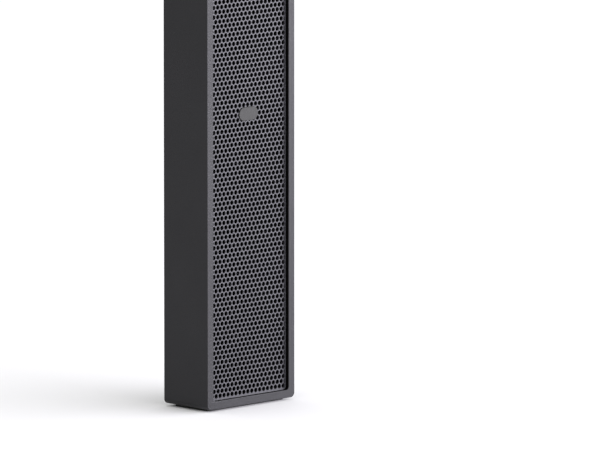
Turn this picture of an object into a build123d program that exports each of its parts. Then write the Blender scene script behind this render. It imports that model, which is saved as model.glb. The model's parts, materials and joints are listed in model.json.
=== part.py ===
"""A slim column loudspeaker: twelve small drivers in one row behind a perforated grille.

Frame: millimetres, +Z up, X is the width and Y the depth, with the grille facing -Y.
The origin is under the middle of the foot pad, on the floor.
"""

import os

from build123d import *

os.makedirs("parts", exist_ok=True)

# ---------------------------------------------------------------- driving dimensions
WIDTH = 98.0
DEPTH = 50.5
HEIGHT = 1000.0
FOOT_THICKNESS = 2.0
SHEET = 1.5  # enclosure sheet
CORNER_R = 4.0  # outer corners, seen from the front
LIP = 6.6  # width of the front frame round the grille
RECESS = 3.5  # how far the grille lies behind the frame
LIP_EDGE = 0.6  # the front frame is thinned to this at the opening
CHANNEL = 1.5  # width of the black seal behind that edge
PANEL_RECESS = 3.5  # how far the rear panel lies inside the rear rim
PANEL_THICKNESS = 2.0
FIT_GAP = 0.3  # between loose-fitting sheets
SCREW_GAP = 0.05  # round every screw shank and head

DRIVER_COUNT = 12
DRIVER_PITCH = 76.0
DRIVER_FRAME = 74.0  # side of a driver's square frame
END_BLOCK = 14.0  # thickness of the blocks at both ends

# ---------------------------------------------------------------- derived places
FRONT = -DEPTH / 2
BACK = DEPTH / 2
BODY_BOTTOM = FOOT_THICKNESS
BODY_HEIGHT = HEIGHT - FOOT_THICKNESS
MIDDLE = BODY_BOTTOM + BODY_HEIGHT / 2

INSIDE_WIDTH = WIDTH - 2 * SHEET
INSIDE_HEIGHT = BODY_HEIGHT - 2 * SHEET
INSIDE_BOTTOM = BODY_BOTTOM + SHEET
INSIDE_TOP = HEIGHT - SHEET
OPENING_WIDTH = WIDTH - 2 * LIP
OPENING_HEIGHT = BODY_HEIGHT - 2 * LIP
OPENING_R = 2.6

GRILLE_FRONT = FRONT + RECESS
GRILLE_THICKNESS = 1.2
GRILLE_BACK = GRILLE_FRONT + GRILLE_THICKNESS
GRILLE_WIDTH = 92.8
GRILLE_HEIGHT = BODY_HEIGHT - 5.2
FOAM_THICKNESS = 2.0
GASKET_WIDTH = 6.0
BAFFLE_FRONT = -16.0
BAFFLE_BACK = -13.0
PANEL_BACK = BACK - PANEL_RECESS
PANEL_FRONT = PANEL_BACK - PANEL_THICKNESS

RAIL_X = 43.3  # centre of the screw rows in both rails
RAIL_INNER = 39.3
RAIL_OUTER = INSIDE_WIDTH / 2 - 0.2
RAIL_WEB = 2.0
RAIL_FLANGE = 2.5
RAIL_END = 3.0  # clears the enclosure's rounded inner corners

TOP_DRIVER = INSIDE_TOP - END_BLOCK - DRIVER_FRAME / 2 - 0.5
DRIVER_ZS = [TOP_DRIVER - DRIVER_PITCH * (DRIVER_COUNT - 1 - n) for n in range(DRIVER_COUNT)]


def at_depth(y, z=0.0):
    """A sketch plane at depth y and height z: local x is X, local y is Z, and it extrudes forwards, to -Y."""
    return Plane(origin=(0, y, z), x_dir=(1, 0, 0), z_dir=(0, -1, 0))


def from_rear(x, y, z):
    """A place on a rear-facing surface, whose outward normal is +Y."""
    return Plane(origin=(x, y, z), x_dir=(-1, 0, 0), z_dir=(0, 1, 0))


def from_front(x, y, z):
    """A place on a front-facing surface, whose outward normal is -Y."""
    return Plane(origin=(x, y, z), x_dir=(1, 0, 0), z_dir=(0, -1, 0))


def save(part, name):
    """Labels a finished piece and writes its STEP file."""
    part.label = name
    export_step(part, f"parts/{name}.step")


def save_group(name, pieces):
    """Writes several separate solids as one node."""
    save(Compound(children=list(pieces)), name)


def copies(part, places):
    """One moved copy of a part for each plane or height in places."""
    for place in places:
        where = Location((0, 0, place)) if isinstance(place, float) else Location(place)
        yield part.moved(where)


# ---------------------------------------------------------------- enclosure
INSERT_HOLE_R = 7.6

with BuildPart() as sleeve:
    with BuildSketch(at_depth(BACK, MIDDLE)):
        RectangleRounded(WIDTH, BODY_HEIGHT, CORNER_R)
    extrude(amount=DEPTH)
    with BuildSketch(at_depth(BACK, MIDDLE)):
        RectangleRounded(INSIDE_WIDTH, INSIDE_HEIGHT, CORNER_R - SHEET)
    extrude(amount=DEPTH - SHEET, mode=Mode.SUBTRACT)
    with BuildSketch(at_depth(FRONT + SHEET, MIDDLE)):
        RectangleRounded(OPENING_WIDTH, OPENING_HEIGHT, OPENING_R)
    extrude(amount=SHEET, mode=Mode.SUBTRACT)
    with BuildSketch(at_depth(FRONT + SHEET, MIDDLE)):
        RectangleRounded(OPENING_WIDTH + 2 * CHANNEL, OPENING_HEIGHT + 2 * CHANNEL, OPENING_R + CHANNEL)
    extrude(amount=SHEET - LIP_EDGE, mode=Mode.SUBTRACT)
    fillet(sleeve.faces().sort_by(Axis.Y)[0].edges(), 0.4)
    chamfer(sleeve.faces().sort_by(Axis.Y)[-1].edges(), 0.3)
    with BuildSketch(Plane.XY.offset(BODY_BOTTOM)):
        Circle(INSERT_HOLE_R)
    extrude(amount=SHEET, mode=Mode.SUBTRACT)
save(sleeve.part, "sleeve")

FOOT_WIDTH, FOOT_DEPTH = 86.0, 39.0
with BuildPart() as foot_pad:
    with BuildSketch(Plane.XY):
        RectangleRounded(FOOT_WIDTH, FOOT_DEPTH, 3)
        Circle(INSERT_HOLE_R, mode=Mode.SUBTRACT)
    extrude(amount=FOOT_THICKNESS)
save(foot_pad.part, "foot_pad")

# ---------------------------------------------------------------- grille and what seals it
with BuildPart() as grille_channel:
    with BuildSketch(at_depth(GRILLE_FRONT, MIDDLE)):
        RectangleRounded(OPENING_WIDTH + 2 * CHANNEL, OPENING_HEIGHT + 2 * CHANNEL, OPENING_R + CHANNEL)
        RectangleRounded(OPENING_WIDTH, OPENING_HEIGHT, OPENING_R, mode=Mode.SUBTRACT)
    extrude(amount=RECESS - LIP_EDGE)
save(grille_channel.part, "grille_channel")

with BuildPart() as front_grille:
    with BuildSketch(at_depth(GRILLE_BACK, MIDDLE)):
        RectangleRounded(GRILLE_WIDTH, GRILLE_HEIGHT, 2)
    extrude(amount=GRILLE_THICKNESS)
save(front_grille.part, "front_grille")

GASKET_OPENING = (GRILLE_WIDTH - 2 * GASKET_WIDTH, GRILLE_HEIGHT - 2 * GASKET_WIDTH)
with BuildPart() as grille_gasket:
    with BuildSketch(at_depth(BAFFLE_FRONT, MIDDLE)):
        RectangleRounded(GRILLE_WIDTH, GRILLE_HEIGHT, 2)
        Rectangle(*GASKET_OPENING, mode=Mode.SUBTRACT)
    extrude(amount=BAFFLE_FRONT - GRILLE_BACK)
save(grille_gasket.part, "grille_gasket")

with BuildPart() as grille_foam:
    with BuildSketch(at_depth(GRILLE_BACK + FOAM_THICKNESS, MIDDLE)):
        Rectangle(GASKET_OPENING[0] - 0.4, GASKET_OPENING[1] - 0.4)
    extrude(amount=FOAM_THICKNESS)
save(grille_foam.part, "grille_foam")

BADGE_SIZE = (21.0, 11.0)
BADGE_THICKNESS = 0.8
BADGE_Z = 238.0
with BuildPart() as badge:
    with BuildSketch(at_depth(GRILLE_FRONT, BADGE_Z)):
        SlotOverall(*BADGE_SIZE)
    extrude(amount=BADGE_THICKNESS)
    chamfer(badge.faces().sort_by(Axis.Y)[0].edges(), 0.25)
save(badge.part, "badge")

# ---------------------------------------------------------------- screws
HEAD_HEIGHT = 2.0
SHANK_R, HEAD_R = 2.0, 4.0


def countersunk_screw(length):
    """An M4 countersunk screw with a hexagon socket. Its head's flat top is at the origin, facing +Z."""
    with BuildPart() as screw:
        with BuildSketch(Plane.XZ):
            with BuildLine():
                Polyline((0, 0), (HEAD_R, 0), (SHANK_R, -HEAD_HEIGHT), (SHANK_R, -length), (0, -length), close=True)
            make_face()
        revolve(axis=Axis.Z)
        with BuildSketch():
            RegularPolygon(1.45, 6)
        extrude(amount=-1.5, mode=Mode.SUBTRACT)
    return screw.part


def pan_screw(shank_r, length):
    """A small pan-head screw. The underside of its head is at the origin, and its shank points to -Z."""
    with BuildPart() as screw:
        with BuildSketch():
            Circle(2 * shank_r)
        extrude(amount=1.1 * shank_r)
        fillet(screw.faces().sort_by(Axis.Z)[-1].edges(), 0.5 * shank_r)
        with BuildSketch():
            Circle(shank_r)
        extrude(amount=-length)
        with BuildSketch(Plane.XY.offset(1.1 * shank_r)):
            Rectangle(2.2 * shank_r, 0.45 * shank_r)
            Rectangle(0.45 * shank_r, 2.2 * shank_r)
        extrude(amount=-0.5 * shank_r, mode=Mode.SUBTRACT)
    return screw.part


SCREW_ROWS = 8
SCREW_MARGIN = 28.0
SCREW_STEP = (INSIDE_HEIGHT - 2 * SCREW_MARGIN) / (SCREW_ROWS - 1)
SCREW_ZS = [INSIDE_BOTTOM + SCREW_MARGIN + n * SCREW_STEP for n in range(SCREW_ROWS)]
SCREW_SPOTS = [(side * RAIL_X, z) for z in SCREW_ZS for side in (-1, 1)]
PANEL_SCREW, BAFFLE_SCREW = 6.0, 5.4

save_group(
    "panel_screws",
    copies(countersunk_screw(PANEL_SCREW), [from_rear(x, PANEL_BACK, z) for x, z in SCREW_SPOTS]),
)
save_group(
    "baffle_screws",
    copies(countersunk_screw(BAFFLE_SCREW), [from_front(x, BAFFLE_FRONT, z) for x, z in SCREW_SPOTS]),
)

# ---------------------------------------------------------------- rails and end blocks
with BuildPart() as rail_right:
    with BuildSketch(Plane.XY.offset(INSIDE_BOTTOM + RAIL_END)):
        with BuildLine():
            Polyline(
                (RAIL_INNER, BAFFLE_BACK),
                (RAIL_OUTER, BAFFLE_BACK),
                (RAIL_OUTER, PANEL_FRONT),
                (RAIL_INNER, PANEL_FRONT),
                (RAIL_INNER, PANEL_FRONT - RAIL_FLANGE),
                (RAIL_OUTER - RAIL_WEB, PANEL_FRONT - RAIL_FLANGE),
                (RAIL_OUTER - RAIL_WEB, BAFFLE_BACK + RAIL_FLANGE),
                (RAIL_INNER, BAFFLE_BACK + RAIL_FLANGE),
                close=True,
            )
        make_face()
    extrude(amount=INSIDE_HEIGHT - 2 * RAIL_END)
    with BuildSketch(at_depth(PANEL_FRONT)):
        with Locations(*[(RAIL_X, z) for z in SCREW_ZS]):
            Circle(SHANK_R + SCREW_GAP)
    extrude(amount=PANEL_FRONT - BAFFLE_BACK, mode=Mode.SUBTRACT)
save(rail_right.part, "rail_right")

with BuildPart() as rail_left:
    add(rail_right.part)
    mirror(about=Plane.YZ, mode=Mode.REPLACE)
save(rail_left.part, "rail_left")

INSERT_R, INSERT_FLANGE_R, INSERT_FLANGE = 7.0, 7.5, 1.5
THREAD_R = 4.25
BLOCK_WIDTH = 76.0
BLOCK_Y = (BAFFLE_BACK + FIT_GAP, PANEL_FRONT - FIT_GAP)
BLOCK_DEPTH = BLOCK_Y[1] - BLOCK_Y[0]
BLOCK_CENTRE_Y = (BLOCK_Y[0] + BLOCK_Y[1]) / 2

with BuildPart() as bottom_block:
    with BuildSketch(Plane((0, BLOCK_CENTRE_Y, INSIDE_BOTTOM))):
        RectangleRounded(BLOCK_WIDTH, BLOCK_DEPTH, 3)
    extrude(amount=END_BLOCK)
    with BuildSketch(Plane.XY.offset(INSIDE_BOTTOM)):
        Circle(INSERT_R + SCREW_GAP)
    extrude(amount=END_BLOCK, mode=Mode.SUBTRACT)
save(bottom_block.part, "bottom_block")

with BuildPart() as top_block:
    with BuildSketch(Plane((0, BLOCK_CENTRE_Y, INSIDE_TOP))):
        RectangleRounded(BLOCK_WIDTH, BLOCK_DEPTH, 3)
    extrude(amount=-END_BLOCK)
    with BuildSketch(Plane((0, BLOCK_CENTRE_Y, INSIDE_TOP - END_BLOCK))):
        with Locations((-20, 0), (20, 0)):
            RectangleRounded(30, BLOCK_DEPTH - 12, 3)
    extrude(amount=END_BLOCK - 3, mode=Mode.SUBTRACT)
save(top_block.part, "top_block")

with BuildPart() as base_insert:
    with BuildSketch(Plane.XY.offset(BODY_BOTTOM)):
        Circle(INSERT_FLANGE_R)
    extrude(amount=INSERT_FLANGE)
    with BuildSketch(Plane.XY.offset(INSIDE_BOTTOM)):
        Circle(INSERT_R)
    extrude(amount=END_BLOCK)
    with BuildSketch(Plane.XY.offset(BODY_BOTTOM)):
        Circle(THREAD_R)
    extrude(amount=END_BLOCK + INSERT_FLANGE, mode=Mode.SUBTRACT)
save(base_insert.part, "base_insert")

# ---------------------------------------------------------------- baffle and drivers
CUTOUT_R = 33.0
FRAME_SCREW = 30.5
SCREW_R = 1.5
FLANGE_THICKNESS = 1.5
FLANGE_BACK = BAFFLE_BACK + FLANGE_THICKNESS
FLANGE_INNER_R = 30.5
BASKET_WINDOW = (8.5, 13.0)  # depth and width of the openings between the basket's legs
BASKET_SHEET = 1.2
PLATE_FRONT = 3.5  # front of the motor's top plate
PLATE_THICKNESS = 3.0
MAGNET_THICKNESS = 6.0
YOKE_THICKNESS = 3.0
MOTOR_R, MAGNET_R, MAGNET_HOLE_R = 18.0, 17.0, 12.0
GAP_OUTER_R, POLE_R = 10.9, 9.5
COIL_INNER_R, COIL_OUTER_R = 9.9, 10.4
CONE_R, CONE_SHEET = 26.0, 0.6
CONE_RIM = BAFFLE_BACK  # the cone's front edge
NECK = -6.5  # where the cone meets the coil former
DRIVER_SPOTS = [(0, z) for z in DRIVER_ZS]

with BuildPart() as baffle:
    with BuildSketch(at_depth(BAFFLE_BACK, MIDDLE)):
        RectangleRounded(INSIDE_WIDTH - 2 * FIT_GAP, INSIDE_HEIGHT - 2 * FIT_GAP, 2)
    extrude(amount=BAFFLE_BACK - BAFFLE_FRONT)
    with BuildSketch(at_depth(BAFFLE_BACK)):
        with Locations(*DRIVER_SPOTS):
            Circle(CUTOUT_R)
            with GridLocations(2 * FRAME_SCREW, 2 * FRAME_SCREW, 2, 2):
                Circle(SCREW_R + SCREW_GAP)
    extrude(amount=BAFFLE_BACK - BAFFLE_FRONT, mode=Mode.SUBTRACT)
    for x, z in SCREW_SPOTS:
        with Locations(from_front(x, BAFFLE_FRONT, z)):
            CounterSinkHole(SHANK_R + SCREW_GAP, HEAD_R + SCREW_GAP, counter_sink_angle=90)
save(baffle.part, "baffle")

with BuildPart() as basket:
    with BuildSketch(at_depth(FLANGE_BACK)):
        RectangleRounded(DRIVER_FRAME, DRIVER_FRAME, 8)
        Circle(FLANGE_INNER_R, mode=Mode.SUBTRACT)
        with GridLocations(2 * FRAME_SCREW, 2 * FRAME_SCREW, 2, 2):
            Circle(SCREW_R + SCREW_GAP, mode=Mode.SUBTRACT)
    extrude(amount=FLANGE_THICKNESS)
    with BuildSketch(Plane.XY):
        with BuildLine():
            Polyline(
                (FLANGE_INNER_R, FLANGE_BACK),
                (FLANGE_INNER_R + 2, FLANGE_BACK),
                (MOTOR_R + 3, PLATE_FRONT),
                (MAGNET_HOLE_R + 1, PLATE_FRONT),
                (MAGNET_HOLE_R + 1, PLATE_FRONT - BASKET_SHEET),
                (MOTOR_R + 1.6, PLATE_FRONT - BASKET_SHEET),
                close=True,
            )
        make_face()
    revolve(axis=Axis.Y)
    for turn in (0, 45, 90, 135):
        with Locations(Location((0, (FLANGE_BACK + PLATE_FRONT - BASKET_SHEET) / 2, 0), (0, turn, 0))):
            Box(90, *BASKET_WINDOW, mode=Mode.SUBTRACT)
save_group("driver_baskets", copies(basket.part, DRIVER_ZS))

with BuildPart() as top_plate:
    with BuildSketch(at_depth(PLATE_FRONT + PLATE_THICKNESS)):
        Circle(MOTOR_R)
        Circle(GAP_OUTER_R, mode=Mode.SUBTRACT)
    extrude(amount=PLATE_THICKNESS)
save_group("driver_top_plates", copies(top_plate.part, DRIVER_ZS))

MAGNET_FRONT = PLATE_FRONT + PLATE_THICKNESS
YOKE_FRONT = MAGNET_FRONT + MAGNET_THICKNESS
with BuildPart() as magnet:
    with BuildSketch(at_depth(YOKE_FRONT)):
        Circle(MAGNET_R)
        Circle(MAGNET_HOLE_R, mode=Mode.SUBTRACT)
    extrude(amount=MAGNET_THICKNESS)
save_group("driver_magnets", copies(magnet.part, DRIVER_ZS))

with BuildPart() as yoke:
    with BuildSketch(at_depth(YOKE_FRONT + YOKE_THICKNESS)):
        Circle(MOTOR_R)
    extrude(amount=YOKE_THICKNESS)
    chamfer(yoke.faces().sort_by(Axis.Y)[-1].edges(), 0.8)
    with BuildSketch(at_depth(YOKE_FRONT)):
        Circle(POLE_R)
    extrude(amount=YOKE_FRONT - PLATE_FRONT)
save_group("driver_yokes", copies(yoke.part, DRIVER_ZS))

ROLL_INNER_R, ROLL_OUTER_R, RUBBER = 26.0, 31.0, 0.6
ROLL_R = (ROLL_OUTER_R - ROLL_INNER_R) / 2
ROLL_CENTRE = (ROLL_INNER_R + ROLL_OUTER_R) / 2
with BuildPart() as surround:
    with BuildSketch(Plane.XY):
        with Locations((ROLL_CENTRE, BAFFLE_BACK)):
            Circle(ROLL_R)
            Circle(ROLL_R - RUBBER, mode=Mode.SUBTRACT)
        with Locations((ROLL_CENTRE, BAFFLE_BACK + ROLL_R)):
            Rectangle(2 * ROLL_R, 2 * ROLL_R, mode=Mode.SUBTRACT)
        with Locations((ROLL_OUTER_R + 0.5, BAFFLE_BACK - RUBBER / 2)):
            Rectangle(2.6, RUBBER)
        with Locations((ROLL_INNER_R - 0.4, BAFFLE_BACK - RUBBER / 2)):
            Rectangle(2.0, RUBBER)
    revolve(axis=Axis.Y)
save_group("driver_surrounds", copies(surround.part, DRIVER_ZS))

SPIDER_Y = -3.0
SPIDER_OUTER_R = 22.0
SPIDER_WAVES = 3
SPIDER_STEP = (SPIDER_OUTER_R - COIL_OUTER_R - 2) / (2 * SPIDER_WAVES)
with BuildPart() as spider:
    with BuildSketch(Plane.XY):
        with BuildLine():
            wave = [(COIL_OUTER_R, SPIDER_Y), (COIL_OUTER_R + 1, SPIDER_Y)]
            for n in range(1, 2 * SPIDER_WAVES):
                wave.append((COIL_OUTER_R + 1 + n * SPIDER_STEP, SPIDER_Y + (0.8 if n % 2 else -0.8)))
            wave += [(SPIDER_OUTER_R - 1, SPIDER_Y), (SPIDER_OUTER_R, SPIDER_Y)]
            Polyline(*wave, *[(x, y + 0.5) for x, y in reversed(wave)], close=True)
        make_face()
    revolve(axis=Axis.Y)
save_group("driver_spiders", copies(spider.part, DRIVER_ZS))

with BuildPart() as diaphragm:
    with BuildSketch(Plane.XY):
        with BuildLine():
            Polyline(
                (CONE_R, CONE_RIM),
                (CONE_R, CONE_RIM + CONE_SHEET),
                (COIL_OUTER_R, NECK + CONE_SHEET),
                (COIL_OUTER_R, NECK),
                close=True,
            )
        make_face()
    revolve(axis=Axis.Y)

with BuildPart() as coil_former:
    with BuildSketch(at_depth(MAGNET_FRONT + 1)):
        Circle(COIL_OUTER_R)
        Circle(COIL_INNER_R, mode=Mode.SUBTRACT)
    extrude(amount=MAGNET_FRONT + 1 - NECK)

CAP_OUTSIDE = [(0, -3.9), (3.0, -3.7), (5.9, -2.95), (8.6, -1.7)]
CAP_INSIDE = [(8.2, -1.35), (5.6, -2.5), (2.9, -3.2), (0, -3.4)]
with BuildPart() as dust_cap:
    with BuildSketch(Plane.XY):
        with BuildLine():
            profile = [(COIL_OUTER_R, 0), (COIL_INNER_R, 0), *CAP_INSIDE, *CAP_OUTSIDE]
            Polyline(*[(x, NECK + y) for x, y in profile], close=True)
        make_face()
    revolve(axis=Axis.Y)

for number, z in enumerate(DRIVER_ZS, 1):
    moving = [diaphragm.part, coil_former.part, dust_cap.part]
    save_group(f"cone_{number:02d}", [p.moved(Location((0, 0, z))) for p in moving])

FRAME_SCREW_LENGTH = 4.2
FRAME_SPOTS = [(x, z + dz) for z in DRIVER_ZS for x in (-FRAME_SCREW, FRAME_SCREW) for dz in (-FRAME_SCREW, FRAME_SCREW)]
save_group(
    "driver_screws",
    copies(pan_screw(SCREW_R, FRAME_SCREW_LENGTH), [from_rear(x, FLANGE_BACK, z) for x, z in FRAME_SPOTS]),
)

# ---------------------------------------------------------------- driver wiring
WIRE_Y = -8.0
TRUNK_X = 42.3
TRUNK_R, LEAD_R = 2.0, 0.9
TAB_X, TAB_THICKNESS = 34.8, 1.6

with BuildPart() as terminal_tab:
    with BuildSketch(at_depth(WIRE_Y + 2.4)):
        with Locations((TAB_X, 0)):
            RectangleRounded(TAB_THICKNESS, 9, 0.6)
    extrude(amount=WIRE_Y + 2.4 - FLANGE_BACK)
save_group("driver_terminals", copies(terminal_tab.part, DRIVER_ZS))

with BuildPart() as lead:
    with BuildSketch(Plane.YZ.offset(TAB_X + TAB_THICKNESS / 2)):
        with Locations((WIRE_Y, -2.4), (WIRE_Y, 2.4)):
            Circle(LEAD_R)
    extrude(amount=TRUNK_X - TRUNK_R - TAB_X - TAB_THICKNESS / 2)
save_group("driver_leads", [p for z in DRIVER_ZS for p in lead.part.moved(Location((0, 0, z))).solids()])

TRUNK_START = (8.0, WIRE_Y, 30.0)
with BuildPart() as wiring_trunk:
    with BuildLine() as trunk_path:
        FilletPolyline(
            TRUNK_START,
            (TRUNK_X, WIRE_Y, TRUNK_START[2]),
            (TRUNK_X, WIRE_Y, DRIVER_ZS[-1] + 8),
            radius=9,
        )
    with BuildSketch(Plane(origin=TRUNK_START, z_dir=(1, 0, 0))):
        Circle(TRUNK_R)
    sweep(path=trunk_path.line)
save(wiring_trunk.part, "wiring_trunk")

# ---------------------------------------------------------------- rear panel and its terminal cup
CUP_Z = 47.0
CUP_INSIDE = (70.0, 46.0)
CUP_WALL = 1.5
CUP_OUTSIDE = (CUP_INSIDE[0] + 2 * CUP_WALL, CUP_INSIDE[1] + 2 * CUP_WALL)
CUP_FLANGE = (78.0, 60.0)
CUP_FLOOR = 11.0  # depth of the cup's outward face
CUP_R = 5.0
CUP_SCREWS = (56.0, 54.4)
CONNECTOR_X = 21.5
CONNECTOR_R = 12.0
CONNECTOR_SCREWS = (19.0, 24.0)
KNOB_Z = CUP_Z + 10.5
SWITCH_Z = CUP_Z - 11.5
NECK_R = 4.5
SLOT = (11.4, 4.6)
BRACKET_SPACING = 60.0
BRACKET_CENTRES = [(DRIVER_ZS[1] + DRIVER_ZS[2]) / 2, (DRIVER_ZS[9] + DRIVER_ZS[10]) / 2]
BRACKET_SPOTS = [
    (x, centre + dz)
    for centre in BRACKET_CENTRES
    for x in (-BRACKET_SPACING / 2, BRACKET_SPACING / 2)
    for dz in (-BRACKET_SPACING / 2, BRACKET_SPACING / 2)
]
RIVET_NUT_R, RIVET_FLANGE_R, RIVET_FLANGE = 4.5, 6.5, 1.0
RIVET_THREAD_R, RIVET_LENGTH = 2.5, 11.0

with BuildPart() as rear_panel:
    with BuildSketch(at_depth(PANEL_BACK, MIDDLE)):
        RectangleRounded(INSIDE_WIDTH - 2 * FIT_GAP, INSIDE_HEIGHT - 2 * FIT_GAP, 2.2)
    extrude(amount=PANEL_THICKNESS)
    with BuildSketch(at_depth(PANEL_BACK)):
        with Locations((0, CUP_Z)):
            RectangleRounded(CUP_OUTSIDE[0] + 0.4, CUP_OUTSIDE[1] + 0.4, CUP_R + CUP_WALL)
            with GridLocations(*CUP_SCREWS, 2, 2):
                Circle(SCREW_R + SCREW_GAP)
        with Locations(*BRACKET_SPOTS):
            Circle(RIVET_NUT_R + SCREW_GAP)
    extrude(amount=PANEL_THICKNESS, mode=Mode.SUBTRACT)
    for x, z in SCREW_SPOTS:
        with Locations(from_rear(x, PANEL_BACK, z)):
            CounterSinkHole(SHANK_R + SCREW_GAP, HEAD_R + SCREW_GAP, counter_sink_angle=90)
save(rear_panel.part, "rear_panel")

with BuildPart() as rivet_nut:
    with BuildSketch():
        Circle(RIVET_FLANGE_R)
    extrude(amount=RIVET_FLANGE)
    chamfer(rivet_nut.faces().sort_by(Axis.Z)[-1].edges(), 0.3)
    with BuildSketch():
        Circle(RIVET_NUT_R)
    extrude(amount=-RIVET_LENGTH)
    with BuildSketch(Plane.XY.offset(RIVET_FLANGE)):
        Circle(RIVET_THREAD_R)
    extrude(amount=-RIVET_LENGTH - RIVET_FLANGE, mode=Mode.SUBTRACT)
save_group(
    "bracket_inserts",
    copies(rivet_nut.part, [from_rear(x, PANEL_BACK, z) for x, z in BRACKET_SPOTS]),
)

with BuildPart() as terminal_cup:
    with BuildSketch(at_depth(PANEL_BACK + CUP_WALL, CUP_Z)):
        RectangleRounded(*CUP_FLANGE, CUP_R)
        with GridLocations(*CUP_SCREWS, 2, 2):
            Circle(SCREW_R + SCREW_GAP, mode=Mode.SUBTRACT)
    extrude(amount=CUP_WALL)
    with BuildSketch(at_depth(PANEL_BACK, CUP_Z)):
        RectangleRounded(*CUP_OUTSIDE, CUP_R + CUP_WALL - 0.2)
    extrude(amount=PANEL_BACK - CUP_FLOOR + CUP_WALL)
    with BuildSketch(at_depth(PANEL_BACK + CUP_WALL, CUP_Z)):
        RectangleRounded(*CUP_INSIDE, CUP_R)
    extrude(amount=PANEL_BACK + CUP_WALL - CUP_FLOOR, mode=Mode.SUBTRACT)
    fillet(terminal_cup.faces().sort_by(Axis.Y)[-1].outer_wire().edges(), 0.6)
    with BuildSketch(at_depth(CUP_FLOOR)):
        with Locations((-CONNECTOR_X, CUP_Z), (CONNECTOR_X, CUP_Z)):
            Circle(CONNECTOR_R + 0.2)
            with GridLocations(*CONNECTOR_SCREWS, 2, 2):
                Circle(SCREW_R + SCREW_GAP)
        with Locations((0, KNOB_Z)):
            Circle(NECK_R + 0.1)
        with Locations((0, SWITCH_Z)):
            Rectangle(*SLOT)
    extrude(amount=CUP_WALL, mode=Mode.SUBTRACT)
save(terminal_cup.part, "terminal_cup")

CUP_SCREW_SPOTS = [(sx * CUP_SCREWS[0] / 2, CUP_Z + sz * CUP_SCREWS[1] / 2) for sx in (-1, 1) for sz in (-1, 1)]
save_group(
    "terminal_cup_screws",
    copies(pan_screw(SCREW_R, 5.0), [from_rear(x, PANEL_BACK + CUP_WALL, z) for x, z in CUP_SCREW_SPOTS]),
)

# ---------------------------------------------------------------- connectors
CONNECTOR_FLANGE = (25.0, 30.0)
FLANGE_HEIGHT = 2.0
CONNECTOR_BACK = -5.0
WELL_R, WELL_FLOOR = 10.8, -2.0
BOSS_R, BOSS_TOP = 4.6, 10.0
CONNECTOR_FACE = CUP_FLOOR + FLANGE_HEIGHT

with BuildPart() as connector:
    with BuildSketch(at_depth(CONNECTOR_FACE, CUP_Z)):
        RectangleRounded(*CONNECTOR_FLANGE, 3)
        with GridLocations(*CONNECTOR_SCREWS, 2, 2):
            Circle(SCREW_R + SCREW_GAP, mode=Mode.SUBTRACT)
    extrude(amount=FLANGE_HEIGHT)
    fillet(connector.faces().sort_by(Axis.Y)[-1].outer_wire().edges(), 0.5)
    with BuildSketch(at_depth(CUP_FLOOR, CUP_Z)):
        Circle(CONNECTOR_R)
    extrude(amount=CUP_FLOOR - CONNECTOR_BACK)
    with BuildSketch(at_depth(CONNECTOR_FACE, CUP_Z)):
        Circle(WELL_R)
    extrude(amount=CONNECTOR_FACE - WELL_FLOOR, mode=Mode.SUBTRACT)
    with BuildSketch(at_depth(BOSS_TOP, CUP_Z)):
        Circle(BOSS_R)
        with PolarLocations(BOSS_R, 4):
            Rectangle(1.2, 1.6, mode=Mode.SUBTRACT)
    extrude(amount=BOSS_TOP - WELL_FLOOR)
    with BuildSketch(at_depth(CONNECTOR_BACK, CUP_Z)):
        with PolarLocations(7, 4, start_angle=45):
            Rectangle(0.8, 4.8)
    extrude(amount=5.5)

for side, name in ((-1, "link_connector"), (1, "input_connector")):
    save(connector.part.moved(Location((side * CONNECTOR_X, 0, 0))), name)

CONNECTOR_SPOTS = [
    (side * CONNECTOR_X + sx * CONNECTOR_SCREWS[0] / 2, CUP_Z + sz * CONNECTOR_SCREWS[1] / 2)
    for side in (-1, 1)
    for sx in (-1, 1)
    for sz in (-1, 1)
]
save_group(
    "connector_screws",
    copies(pan_screw(SCREW_R, 5.0), [from_rear(x, CONNECTOR_FACE, z) for x, z in CONNECTOR_SPOTS]),
)

# ---------------------------------------------------------------- tap selector
KNOB_R, KNOB_FRONT, KNOB_HEIGHT = 6.5, CUP_FLOOR + 1.4, 5.0
STEM_R, STEM_LENGTH = 2.95, 9.0
CUP_UNDERSIDE = CUP_FLOOR - CUP_WALL

with BuildPart() as tap_selector_body:
    with BuildSketch(at_depth(CUP_UNDERSIDE, KNOB_Z)):
        RectangleRounded(15, 15, 1.5)
    extrude(amount=12)
    with BuildSketch(at_depth(CUP_FLOOR + 1.1, KNOB_Z)):
        Circle(NECK_R)
    extrude(amount=1.1 + CUP_WALL)
    with BuildSketch(at_depth(CUP_FLOOR + 1.1, KNOB_Z)):
        Circle(STEM_R + SCREW_GAP)
    extrude(amount=10, mode=Mode.SUBTRACT)
save(tap_selector_body.part, "tap_selector_body")

with BuildPart() as tap_knob:
    with BuildSketch(at_depth(KNOB_FRONT + KNOB_HEIGHT, KNOB_Z)):
        Circle(KNOB_R)
        with PolarLocations(KNOB_R + 0.55, 12):
            Circle(1.0, mode=Mode.SUBTRACT)
    extrude(amount=KNOB_HEIGHT)
    with BuildSketch(at_depth(KNOB_FRONT + KNOB_HEIGHT, KNOB_Z)):
        with Locations((0, KNOB_R / 2)):
            Rectangle(1.2, KNOB_R + 1)
    extrude(amount=0.8, mode=Mode.SUBTRACT)
    with BuildSketch(at_depth(KNOB_FRONT, KNOB_Z)):
        Circle(STEM_R)
    extrude(amount=STEM_LENGTH)
save(tap_knob.part, "tap_knob")

# ---------------------------------------------------------------- coverage switch
SLIDE_TRAVEL = 4.0
NUB = (4.0, 3.8)
SHUTTLE = (6.6, 6.6)
SWITCH_PLATE = (16.6, 8.6)
SWITCH_PLATE_THICKNESS = 0.8

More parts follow.
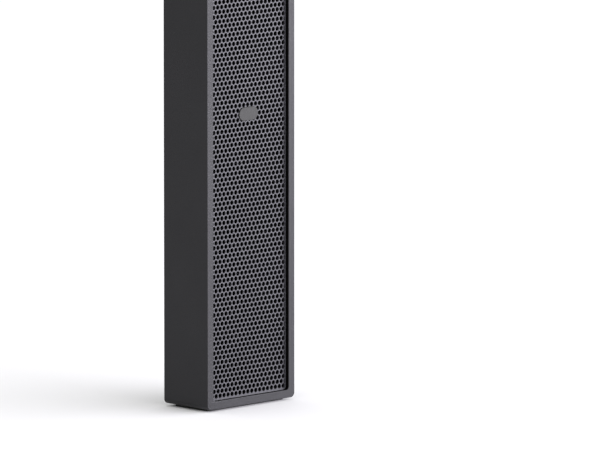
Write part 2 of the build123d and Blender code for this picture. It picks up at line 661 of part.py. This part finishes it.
with BuildPart() as switch_body:
    with BuildSketch(at_depth(CUP_FLOOR + SWITCH_PLATE_THICKNESS, SWITCH_Z)):
        RectangleRounded(*SWITCH_PLATE, 1)
        Rectangle(NUB[0] + SLIDE_TRAVEL + 0.6, NUB[1] + 0.2, mode=Mode.SUBTRACT)
    extrude(amount=SWITCH_PLATE_THICKNESS)

with BuildPart() as switch_housing:
    with BuildSketch(at_depth(CUP_UNDERSIDE, SWITCH_Z)):
        RectangleRounded(16, 8.6, 0.8)
    extrude(amount=7)
    with BuildSketch(at_depth(CUP_UNDERSIDE, SWITCH_Z)):
        Rectangle(SHUTTLE[0] + SLIDE_TRAVEL + 0.8, SHUTTLE[1] + 0.2)
    extrude(amount=3, mode=Mode.SUBTRACT)
save_group("coverage_switch_body", [switch_body.part, switch_housing.part])

with BuildPart() as coverage_switch_slider:
    with BuildSketch(at_depth(CUP_UNDERSIDE - 0.2, SWITCH_Z)):
        with Locations((-SLIDE_TRAVEL / 2, 0)):
            Rectangle(*SHUTTLE)
    extrude(amount=2.4)
    with BuildSketch(at_depth(CUP_FLOOR + 2.6, SWITCH_Z)):
        with Locations((-SLIDE_TRAVEL / 2, 0)):
            Rectangle(*NUB)
    extrude(amount=CUP_FLOOR + 2.6 - CUP_UNDERSIDE + 0.2)
    with BuildSketch(at_depth(CUP_FLOOR + 2.6, SWITCH_Z)):
        with GridLocations(1.1, 1, 3, 1):
            with Locations((-SLIDE_TRAVEL / 2, 0)):
                Rectangle(0.45, NUB[1])
    extrude(amount=0.35, mode=Mode.SUBTRACT)
save(coverage_switch_slider.part, "coverage_switch_slider")

# ---------------------------------------------------------------- crossover and line transformer
BOARD_Z = (DRIVER_ZS[0] + DRIVER_ZS[1]) / 2
BOARD_SIZE = (70.0, 37.0)
BOARD_THICKNESS = 1.6
STANDOFF = 3.0
BOARD_BACK = PANEL_FRONT - STANDOFF
BOARD_FRONT = BOARD_BACK - BOARD_THICKNESS
STANDOFF_GRID = (62.0, 29.0)

with BuildPart() as crossover_board:
    with BuildSketch(at_depth(BOARD_BACK, BOARD_Z)):
        RectangleRounded(*BOARD_SIZE, 1.5)
        with GridLocations(*STANDOFF_GRID, 2, 2):
            Circle(1.6, mode=Mode.SUBTRACT)
    extrude(amount=BOARD_THICKNESS)
save(crossover_board.part, "crossover_board")

with BuildPart() as crossover_standoffs:
    with BuildSketch(at_depth(PANEL_FRONT, BOARD_Z)):
        with GridLocations(*STANDOFF_GRID, 2, 2):
            Circle(3)
            Circle(1.6, mode=Mode.SUBTRACT)
    extrude(amount=STANDOFF)
save(crossover_standoffs.part, "crossover_standoffs")

with BuildPart() as crossover_coils:
    for height, radius in ((9, 8.0), (1.2, 9.0)):
        with BuildSketch(at_depth(BOARD_FRONT, BOARD_Z)):
            with Locations((-19, 0), (1, 0)):
                Circle(radius)
                Circle(3.2, mode=Mode.SUBTRACT)
        extrude(amount=height)
save(crossover_coils.part, "crossover_coils")

with BuildPart() as crossover_capacitors:
    with BuildSketch(Plane.XY.offset(BOARD_Z - 13)):
        with Locations((16, BOARD_FRONT - 5), (28, BOARD_FRONT - 5)):
            RectangleRounded(9.6, 9.6, 3.5)
    extrude(amount=26)
save(crossover_capacitors.part, "crossover_capacitors")

CORE_SIZE = (30.0, 32.0, 12.0)
CORE_LEG = 9.0
CORE_WINDOW = (6.0, 20.0)
COIL_HEIGHT = CORE_WINDOW[1] - 0.6
with BuildPart() as transformer_core:
    with BuildSketch(at_depth(PANEL_FRONT - 1, BRACKET_CENTRES[0])):
        Rectangle(CORE_SIZE[0], CORE_SIZE[1])
        with GridLocations(CORE_LEG + CORE_WINDOW[0], 1, 2, 1):
            Rectangle(*CORE_WINDOW, mode=Mode.SUBTRACT)
    extrude(amount=CORE_SIZE[2])
save(transformer_core.part, "transformer_core")

with BuildPart() as transformer_coil:
    with BuildSketch(Plane.XY.offset(BRACKET_CENTRES[0] - COIL_HEIGHT / 2)):
        with Locations((0, PANEL_FRONT - 1 - CORE_SIZE[2] / 2)):
            RectangleRounded(20.6, CORE_SIZE[2] + 1.8, 2)
            Rectangle(CORE_LEG + 0.2, CORE_SIZE[2] + 0.2, mode=Mode.SUBTRACT)
    extrude(amount=COIL_HEIGHT)
save(transformer_coil.part, "transformer_coil")
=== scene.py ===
"""Looks of the column loudspeaker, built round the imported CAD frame. Metres, +Z up, grille facing -Y."""

import json
import math

import bpy
from mathutils import Euler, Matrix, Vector


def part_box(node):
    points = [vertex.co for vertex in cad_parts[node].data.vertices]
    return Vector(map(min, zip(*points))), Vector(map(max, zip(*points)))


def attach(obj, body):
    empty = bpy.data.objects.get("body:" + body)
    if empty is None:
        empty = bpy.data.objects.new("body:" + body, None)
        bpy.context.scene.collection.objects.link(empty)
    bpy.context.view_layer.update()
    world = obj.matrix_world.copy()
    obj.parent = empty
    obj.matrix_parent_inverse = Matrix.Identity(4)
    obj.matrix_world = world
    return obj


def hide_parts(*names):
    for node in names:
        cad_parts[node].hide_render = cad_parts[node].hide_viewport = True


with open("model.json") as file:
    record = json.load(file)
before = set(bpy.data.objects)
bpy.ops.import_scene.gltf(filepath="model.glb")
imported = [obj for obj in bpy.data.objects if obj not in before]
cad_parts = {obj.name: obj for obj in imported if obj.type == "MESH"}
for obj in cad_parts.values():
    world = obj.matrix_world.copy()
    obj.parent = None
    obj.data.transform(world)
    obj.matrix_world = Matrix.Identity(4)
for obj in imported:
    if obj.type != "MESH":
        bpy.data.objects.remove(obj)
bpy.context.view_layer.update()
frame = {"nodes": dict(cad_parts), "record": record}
nodes = frame["nodes"]
MM = 0.001

# ---------------------------------------------------------------- camera
# A long lens far off, to the object's front left and a little above it, looking at its lower end.
SENSOR_WIDTH, LENS = 36, 704.6  # mm
CAMERA_AT = (-6.6401, -6.8074, 1.5959)
LOOKS_DOWN, TURNED = math.radians(8.675), math.radians(-44.655)
CLIP_START, CLIP_END = 0.5, 60

camera_data = bpy.data.cameras.new("camera")
camera_data.sensor_width = SENSOR_WIDTH
camera_data.lens = LENS
camera_data.clip_start = CLIP_START
camera_data.clip_end = CLIP_END
camera = bpy.data.objects.new("camera", camera_data)
camera.location = CAMERA_AT
camera.rotation_euler = Euler((math.pi / 2 - LOOKS_DOWN, 0, TURNED))
bpy.context.scene.collection.objects.link(camera)
bpy.context.scene.camera = camera


# ---------------------------------------------------------------- materials
class Material:
    """A procedural material: object-space noise drives its colour, roughness and bump.

    Scales are in features a metre, and bump distances are in metres.
    """

    def __init__(self, name, **sockets):
        self.material = bpy.data.materials.new(name)
        self.material.use_nodes = True
        self.tree = self.material.node_tree
        self.shader = self.tree.nodes["Principled BSDF"]
        for key, value in sockets.items():
            self.shader.inputs[key.replace("_", " ")].default_value = value
        self.place = self.node("ShaderNodeTexCoord").outputs["Object"]
        self.normal = None

    def node(self, kind, **values):
        made = self.tree.nodes.new(kind)
        for key, value in values.items():
            if key in made.inputs:
                made.inputs[key].default_value = value
            else:
                setattr(made, key, value)
        return made

    def link(self, start, end):
        self.tree.links.new(start, end)

    def stretched(self, scale):
        """Coordinates for a noise whose features are drawn out along the axes with a small scale."""
        mapping = self.node("ShaderNodeMapping")
        mapping.inputs["Scale"].default_value = scale
        self.link(self.place, mapping.inputs["Vector"])
        return mapping.outputs["Vector"]

    def noise(self, scale, detail=2.0, rough=0.5, vector=None):
        made = self.node("ShaderNodeTexNoise", Scale=scale, Detail=detail, Roughness=rough)
        self.link(vector or self.place, made.inputs["Vector"])
        return made.outputs["Fac"]

    def cells(self, scale, feature="F1", vector=None):
        made = self.node("ShaderNodeTexVoronoi", Scale=scale, feature=feature)
        self.link(vector or self.place, made.inputs["Vector"])
        return made.outputs["Distance"]

    def ramp(self, fac, low, high, start=0.3, end=0.7):
        """Spreads a noise's values between start and end over the range low to high."""
        made = self.node("ShaderNodeMapRange")
        for key, value in (("From Min", start), ("From Max", end), ("To Min", low), ("To Max", high)):
            made.inputs[key].default_value = value
        self.link(fac, made.inputs["Value"])
        return made.outputs["Result"]

    def colour(self, fac, first, second, start=0.3, end=0.7):
        made = self.node("ShaderNodeValToRGB")
        made.color_ramp.elements[0].position = start
        made.color_ramp.elements[1].position = end
        made.color_ramp.elements[0].color = (*first, 1)
        made.color_ramp.elements[1].color = (*second, 1)
        self.link(fac, made.inputs["Fac"])
        self.link(made.outputs["Color"], self.shader.inputs["Base Color"])
        return self

    def roughness(self, fac, low, high, start=0.3, end=0.7):
        self.link(self.ramp(fac, low, high, start, end), self.shader.inputs["Roughness"])
        return self

    def bump(self, height, distance, strength=1.0):
        made = self.node("ShaderNodeBump", Distance=distance, Strength=strength)
        self.link(height, made.inputs["Height"])
        if self.normal:  # a finer bump goes on top of the one before
            self.link(self.normal, made.inputs["Normal"])
        self.normal = made.outputs["Normal"]
        return self

    def done(self):
        if self.normal:
            self.link(self.normal, self.shader.inputs["Normal"])
        return self.material


def powder_coat(name, dark, light, rough=(0.34, 0.46), specular=0.35):
    """Satin powder coat: fine orange peel, finer grit, and slow drift in colour and gloss."""
    m = Material(name, **{"Specular_IOR_Level": specular})
    m.colour(m.noise(9, 3), dark, light)
    m.roughness(m.noise(30, 4), *rough)
    m.bump(m.noise(1250, 2), 0.00013)
    m.bump(m.noise(3200, 2), 0.00005)
    return m.done()


def plastic(name, dark, light, rough, grain=2200, depth=0.00004, specular=0.5):
    """Moulded plastic with a spark-eroded grain."""
    m = Material(name, **{"Specular_IOR_Level": specular})
    m.colour(m.noise(40, 4), dark, light)
    m.roughness(m.noise(120, 3), *rough)
    m.bump(m.noise(grain, 3), depth)
    return m.done()


def metal(name, dark, light, rough, stretch=(1, 1, 1), scale=700, depth=0.00002, metallic=1.0):
    """Bare or plated metal. A stretched noise gives the brushing or rolling marks."""
    m = Material(name, Metallic=metallic)
    lines = m.noise(scale, 4, vector=m.stretched(stretch))
    m.colour(m.noise(60, 4), dark, light)
    m.roughness(lines, *rough)
    m.bump(lines, depth)
    return m.done()


looks = {}
looks["enclosure_paint"] = powder_coat(
    "enclosure_powder_coat", (0.0144, 0.0142, 0.0162), (0.0165, 0.0163, 0.0183), specular=0.17
)
looks["grille_paint"] = powder_coat(
    "grille_powder_coat", (0.041, 0.0405, 0.0460), (0.047, 0.0465, 0.0525), specular=0.23
)

# The foam is black, and its colour is set far darker than black foam, which paints the shade deep in the
# grille's holes.
m = Material("grille_foam", Roughness=1.0, **{"Specular_IOR_Level": 0.0})
m.colour(m.cells(1600), (0.0001, 0.0001, 0.0001), (0.0005, 0.0005, 0.0005), 0.1, 0.8)
m.bump(m.cells(1600), 0.0004)
looks["grille_foam"] = m.done()

m = Material("badge_satin", **{"Specular_IOR_Level": 0.2})
lines = m.noise(160, 4, vector=m.stretched((1, 1, 40)))
m.colour(m.noise(60, 4), (0.010, 0.010, 0.0090), (0.015, 0.015, 0.0138))
m.roughness(lines, 0.42, 0.55)
m.bump(lines, 0.00001)
looks["badge_metal"] = m.done()

m = Material("foot_rubber", **{"Specular_IOR_Level": 0.3})
m.colour(m.noise(80, 4), (0.010, 0.010, 0.010), (0.018, 0.018, 0.018))
m.roughness(m.noise(200, 3), 0.7, 0.9)
m.bump(m.noise(1500, 3), 0.00008)
looks["rubber"] = m.done()

m = Material("seal_foam", **{"Specular_IOR_Level": 0.05})
m.colour(m.noise(700, 3), (0.0012, 0.0012, 0.0012), (0.003, 0.003, 0.003))
m.roughness(m.noise(200, 3), 0.9, 1.0)
m.bump(m.cells(2500), 0.0001)
looks["grille_seal"] = m.done()

looks["surround_rubber"] = plastic(
    "surround_rubber", (0.010, 0.010, 0.010), (0.016, 0.016, 0.016), (0.5, 0.65), grain=900
)

looks["zinc_steel"] = metal("zinc_plate", (0.50, 0.50, 0.50), (0.62, 0.62, 0.60), (0.28, 0.42))
looks["black_steel"] = metal(
    "black_zinc", (0.020, 0.020, 0.022), (0.034, 0.034, 0.036), (0.3, 0.45), metallic=0.6
)
looks["basket_steel"] = powder_coat("basket_paint", (0.015, 0.015, 0.015), (0.022, 0.022, 0.022))
looks["baffle_steel"] = powder_coat("baffle_paint", (0.015, 0.015, 0.016), (0.02, 0.02, 0.021))
looks["aluminium"] = metal(
    "extruded_aluminium", (0.58, 0.58, 0.60), (0.68, 0.68, 0.70), (0.3, 0.45),
    stretch=(1, 1, 0.02), scale=1500,
)
looks["core_steel"] = metal(
    "laminations", (0.14, 0.14, 0.15), (0.22, 0.22, 0.23), (0.35, 0.55),
    stretch=(0.05, 1, 0.05), scale=2500, depth=0.0001,
)
looks["tinned_copper"] = metal("tin_plate", (0.55, 0.54, 0.50), (0.66, 0.65, 0.60), (0.2, 0.35))
looks["copper_winding"] = metal(
    "enamelled_wire", (0.45, 0.16, 0.06), (0.58, 0.23, 0.09), (0.2, 0.35), scale=1200, depth=0.00015
)

m = Material("ferrite", **{"Specular_IOR_Level": 0.4})
m.colour(m.noise(300, 5), (0.035, 0.035, 0.037), (0.06, 0.06, 0.063))
m.roughness(m.noise(150, 3), 0.55, 0.75)
m.bump(m.noise(1200, 4), 0.0001)
looks["ferrite"] = m.done()

m = Material("cone_pulp", **{"Specular_IOR_Level": 0.3})
m.colour(m.noise(500, 5), (0.010, 0.010, 0.010), (0.024, 0.023, 0.022))
m.roughness(m.noise(300, 3), 0.7, 0.88)
m.bump(m.noise(1400, 5, 0.65), 0.00015)
looks["cone_paper"] = m.done()

m = Material("spider_cloth", **{"Specular_IOR_Level": 0.2})
m.colour(m.noise(1400, 2), (0.20, 0.10, 0.03), (0.34, 0.18, 0.06))
m.roughness(m.noise(600, 2), 0.75, 0.95)
m.bump(m.cells(2200), 0.0001)
looks["spider_cloth"] = m.done()

looks["block_polymer"] = plastic("block_nylon", (0.014, 0.014, 0.014), (0.024, 0.024, 0.024), (0.5, 0.65))
looks["black_plastic"] = plastic("cup_abs", (0.012, 0.012, 0.013), (0.017, 0.017, 0.018), (0.42, 0.55))
looks["connector_plastic"] = plastic(
    "connector_nylon", (0.007, 0.007, 0.008), (0.012, 0.012, 0.013), (0.35, 0.5), grain=1500
)
looks["knob_plastic"] = plastic("knob_abs", (0.03, 0.03, 0.032), (0.045, 0.045, 0.047), (0.4, 0.5))
looks["switch_plastic"] = plastic(
    "slider_abs", (0.50, 0.50, 0.48), (0.60, 0.60, 0.57), (0.3, 0.4), grain=1200, depth=0.00002
)
looks["wire_insulation"] = plastic(
    "wire_pvc", (0.012, 0.012, 0.012), (0.02, 0.02, 0.02), (0.4, 0.5), grain=800
)
looks["lead_insulation"] = plastic(
    "lead_pvc", (0.26, 0.012, 0.012), (0.34, 0.02, 0.02), (0.35, 0.45), grain=800
)
looks["board_laminate"] = plastic(
    "board_mask", (0.008, 0.07, 0.03), (0.012, 0.10, 0.04), (0.25, 0.4), grain=500, depth=0.00003
)
looks["capacitor_film"] = plastic(
    "capacitor_tape", (0.42, 0.30, 0.04), (0.52, 0.38, 0.06), (0.2, 0.35), grain=600
)
looks["winding_tape"] = plastic(
    "winding_tape", (0.40, 0.30, 0.05), (0.50, 0.40, 0.08), (0.3, 0.45), grain=500
)

slot_of = {part["node"]: part["material_slot"] for part in frame["record"]["subparts"]}
for name, obj in nodes.items():
    look = looks[slot_of[name]]
    if not obj.material_slots:
        obj.data.materials.append(look)
    for holder in obj.material_slots:
        holder.material = look


# ---------------------------------------------------------------- pieces
def add_piece(name, verts, faces, node, look, body="column"):
    """A mesh piece, which stands for a CAD node unless node is None."""
    mesh = bpy.data.meshes.new(name)
    mesh.from_pydata(verts, [], faces)
    mesh.update()
    piece = bpy.data.objects.new(name, mesh)
    bpy.context.scene.collection.objects.link(piece)
    mesh.materials.append(looks[look])
    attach(piece, body)
    if node:
        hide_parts(node)


# The grille: rows of round holes, each row shifted half a pitch from the next. The rows aren't centred on
# the sheet, and the outermost holes are cut off straight where its plain margin starts.
PITCH, ROW_STEP, HOLE_R = 4.45 * MM, 3.8915 * MM, 1.95 * MM
SIDES = 11  # of each hole's outline. More would make the piece too heavy
COLUMNS, ROWS = 19, 252
SHIFT_X, SHIFT_Z, MARGIN = 0.65 * MM, -0.76 * MM, 5.1 * MM
MICRONS = 1e6  # in a metre: points closer than one are the same


def perforated_sheet(low, high):
    """Front face, outer edges and hole walls of the sheet between two corners.

    Each hole sits in a brick, one pitch wide and one row high. The back, which the foam hides, is open.
    """
    verts, faces, known = [], [], {}
    front, back = low[1], high[1]

    def point(x, y, z):
        key = (round(x * MICRONS), round(y * MICRONS), round(z * MICRONS))
        if key not in known:
            known[key] = len(verts)
            verts.append((x, y, z))
        return known[key]

    middle = (low[2] + high[2]) / 2 + SHIFT_Z
    bottom = middle - ROW_STEP * ROWS / 2
    turns = [2 * math.pi * n / SIDES for n in range(SIDES)]
    for row in range(ROWS):
        z0, z1 = bottom + row * ROW_STEP, bottom + (row + 1) * ROW_STEP
        shift = PITCH / 4 if row % 2 else -PITCH / 4
        left = SHIFT_X + shift - PITCH * COLUMNS / 2
        for column in range(COLUMNS):
            x0 = left + column * PITCH
            x1, xm, zm = x0 + PITCH, x0 + PITCH / 2, (z0 + z1) / 2
            # the brick's outline, with the corners of the bricks above and below in its long sides
            outline = [(x1, z0), (x1, z1), (xm, z1), (x0, z1), (x0, z0), (xm, z0)]
            circle = [(xm + HOLE_R * math.cos(t), zm + HOLE_R * math.sin(t)) for t in turns]
            hole = [(min(max(x, low[0] + MARGIN), high[0] - MARGIN), z) for x, z in circle]
            middle_x = sum(x for x, _ in hole) / SIDES
            rim = [point(x, front, z) for x, z in hole]
            deep = [point(x, back, z) for x, z in hole]
            for n in range(SIDES):
                after = (n + 1) % SIDES
                faces.append((rim[n], deep[n], deep[after], rim[after]))
            # triangles between the outline and the hole, in the order their corners come round it
            events = sorted(
                (math.atan2(z - zm, x - middle_x) % (2 * math.pi), is_rim, point(x, front, z))
                for is_rim, corners in ((0, outline), (1, hole))
                for x, z in corners
            )
            outer = [index for _, is_rim, index in events if not is_rim][-1]
            inner = [index for _, is_rim, index in events if is_rim][-1]
            for _, is_rim, index in events:
                faces.append((outer, index, inner))
                if is_rim:
                    inner = index
                else:
                    outer = index
        # the plain margins at both ends of the row
        right = left + PITCH * COLUMNS
        a0, a1 = point(low[0], front, z0), point(low[0], front, z1)
        b0, b1 = point(left, front, z0), point(left, front, z1)
        c0, c1 = point(right, front, z0), point(right, front, z1)
        d0, d1 = point(high[0], front, z0), point(high[0], front, z1)
        faces += [(a0, b0, b1, a1), (c0, d0, d1, c1)]
    # the plain margins below and above the rows
    top = bottom + ROWS * ROW_STEP
    for z0, z1 in ((low[2], bottom), (top, high[2])):
        corners = (low[0], z0), (high[0], z0), (high[0], z1), (low[0], z1)
        faces.append(tuple(point(x, front, z) for x, z in corners))
    # the sheet's edges
    rim = [(low[0], low[2]), (high[0], low[2]), (high[0], high[2]), (low[0], high[2])]
    for (xa, za), (xb, zb) in zip(rim, rim[1:] + rim[:1]):
        faces.append((point(xb, front, zb), point(xa, front, za), point(xa, back, za), point(xb, back, zb)))
    return verts, faces


add_piece("grille_perforated", *perforated_sheet(*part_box("front_grille")), "front_grille", "grille_paint")

# The foam behind it: an open-cell sheet whose face is slightly uneven.
ACROSS, UP = 16, 196
CLEAR, SINK, WAVE = 0.1 * MM, 0.08 * MM, 0.06 * MM
low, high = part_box("grille_foam")
foam_verts, foam_faces = [], []
for j in range(UP + 1):
    for i in range(ACROSS + 1):
        x = low[0] + (high[0] - low[0]) * i / ACROSS
        z = low[2] + (high[2] - low[2]) * j / UP
        edge = i in (0, ACROSS) or j in (0, UP)
        dip = 0 if edge else SINK + WAVE * math.sin(i * 1.7 + j * 0.9) * math.cos(j * 1.3 - i * 0.6)
        foam_verts.append((x, low[1] + CLEAR + dip, z))
for j in range(UP):
    for i in range(ACROSS):
        a = j * (ACROSS + 1) + i
        foam_faces.append((a, a + 1, a + ACROSS + 2, a + ACROSS + 1))
back_start = len(foam_verts)
for x, z in ((low[0], low[2]), (high[0], low[2]), (high[0], high[2]), (low[0], high[2])):
    foam_verts.append((x, high[1], z))
foam_faces.append(tuple(back_start + n for n in (3, 2, 1, 0)))
last = UP * (ACROSS + 1)
rims = [
    list(range(ACROSS + 1)),
    [ACROSS + n * (ACROSS + 1) for n in range(UP + 1)],
    [last + ACROSS - n for n in range(ACROSS + 1)],
    [last - n * (ACROSS + 1) for n in range(UP + 1)],
]
for n, line in enumerate(rims):
    foam_faces.append((back_start + n, back_start + (n + 1) % 4, *reversed(line)))
add_piece("foam_sheet", foam_verts, foam_faces, "grille_foam", "grille_foam")

# Printed marks in the rear cup: a scale round the knob, a beam sign under each end of the switch, and an
# arrow under each socket, towards the input and away from the link.
MARK = 0.05 * MM
SWITCH_STANDS_OUT = 0.8 * MM
knob_low, knob_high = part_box("tap_knob")
switch_low, switch_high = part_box("coverage_switch_body")
cup_floor = switch_high[1] - SWITCH_STANDS_OUT
mark_verts, mark_faces = [], []


def flat_mark(corners):
    """A raised print. Its corners, (x, z) pairs, run anticlockwise as seen from behind the object."""
    start, count = len(mark_verts), len(corners)
    mark_verts.extend((x, cup_floor + MARK, z) for x, z in corners)
    mark_verts.extend((x, cup_floor, z) for x, z in corners)
    mark_faces.append(tuple(range(start, start + count)))
    for n in range(count):
        after = (n + 1) % count
        mark_faces.append((start + n, start + count + n, start + count + after, start + after))


def bar(x, z, length, width, turn):
    """A bar centred at (x, z), lying at turn radians clockwise of up, as seen from behind."""
    along = Vector((-math.sin(turn), math.cos(turn))) * length / 2
    across = Vector((-math.cos(turn), -math.sin(turn))) * width / 2
    middle = Vector((x, z))
    near, far = middle - along, middle + along
    flat_mark([far - across, near - across, near + across, far + across])


KNOB_STEPS, KNOB_TURN, SCALE_R, TICK = 7, math.radians(270), 8.0 * MM, 1.3 * MM
FIRST_WIDTH, WIDER = 0.3 * MM, 0.09 * MM  # each tick is wider than the one before
knob_x, knob_z = (knob_low[0] + knob_high[0]) / 2, (knob_low[2] + knob_high[2]) / 2
for step in range(KNOB_STEPS):
    turn = KNOB_TURN * (step / (KNOB_STEPS - 1) - 0.5)
    width = FIRST_WIDTH + WIDER * step
    bar(knob_x - SCALE_R * math.sin(turn), knob_z + SCALE_R * math.cos(turn), TICK, width, turn)

SIGN_X, SIGN_DROP, REACH, STROKE = 4.5 * MM, 2.6 * MM, 2.4 * MM, 0.28 * MM
NARROW, WIDE = 14, 42  # degrees that a sign's outer strokes lean
OUT = REACH * 0.65  # from a sign's foot to the middle of a stroke
sign_z = switch_low[2] - SIGN_DROP
for side, fan in ((-1, NARROW), (1, WIDE)):
    foot_x = (switch_low[0] + switch_high[0]) / 2 + side * SIGN_X
    for lean in (-fan, 0, fan):
        turn = math.radians(lean)
        bar(foot_x - OUT * math.sin(turn), sign_z + OUT * math.cos(turn), REACH, STROKE, turn)

ARROW, ARROW_DROP = 1.5 * MM, 3.6 * MM
for socket, way in (("input_connector", ARROW), ("link_connector", -ARROW)):
    socket_low, socket_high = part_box(socket)
    x, z = (socket_low[0] + socket_high[0]) / 2, socket_low[2] - ARROW_DROP
    flat_mark([(x, z + way), (x + way, z - way), (x - way, z - way)])
add_piece("rear_marks", mark_verts, mark_faces, None, "switch_plastic")

# ---------------------------------------------------------------- floor and light
FLOOR = 25  # half its width
WORLD_STRENGTH = 0.97

floor_mesh = bpy.data.meshes.new("floor")
floor_corners = [(-FLOOR, -FLOOR, 0), (FLOOR, -FLOOR, 0), (FLOOR, FLOOR, 0), (-FLOOR, FLOOR, 0)]
floor_mesh.from_pydata(floor_corners, [], [(0, 1, 2, 3)])
floor = bpy.data.objects.new("floor", floor_mesh)
bpy.context.scene.collection.objects.link(floor)
m = Material("studio_floor", **{"Specular_IOR_Level": 0.1})
m.colour(m.noise(3, 2), (0.84, 0.84, 0.84), (0.85, 0.85, 0.85))
m.roughness(m.noise(10, 2), 0.75, 0.85)
floor_mesh.materials.append(m.done())

world = bpy.data.worlds.new("studio")
bpy.context.scene.world = world
world.use_nodes = True
world.node_tree.nodes["Background"].inputs["Color"].default_value = (1, 1, 1, 1)
world.node_tree.nodes["Background"].inputs["Strength"].default_value = WORLD_STRENGTH
bpy.context.scene.view_settings.view_transform = "Standard"


def softbox(name, azimuth, elevation, distance, size, power, colour, aim):
    """A wide soft light, which the camera doesn't see. Azimuth is measured from -Y towards +X, in degrees."""
    lamp = bpy.data.lights.new(name, "AREA")
    lamp.shape = "RECTANGLE"
    lamp.size, lamp.size_y = size
    lamp.energy = power
    lamp.color = colour
    obj = bpy.data.objects.new(name, lamp)
    a, e = math.radians(azimuth), math.radians(elevation)
    toward = Vector((math.sin(a) * math.cos(e), -math.cos(a) * math.cos(e), math.sin(e)))
    obj.location = Vector(aim) + toward * distance
    obj.rotation_euler = toward.to_track_quat("Z", "Y").to_euler()
    obj.visible_camera = False
    bpy.context.scene.collection.objects.link(obj)


# One low, wide light to the front right. It reaches down to the floor, so the long faces shine evenly.
softbox(
    "key", azimuth=37, elevation=1.91, distance=4.5, size=(9.2, 1.5), power=790,
    colour=(1.0, 0.98, 1.07), aim=(0, 0, 0.6),
)
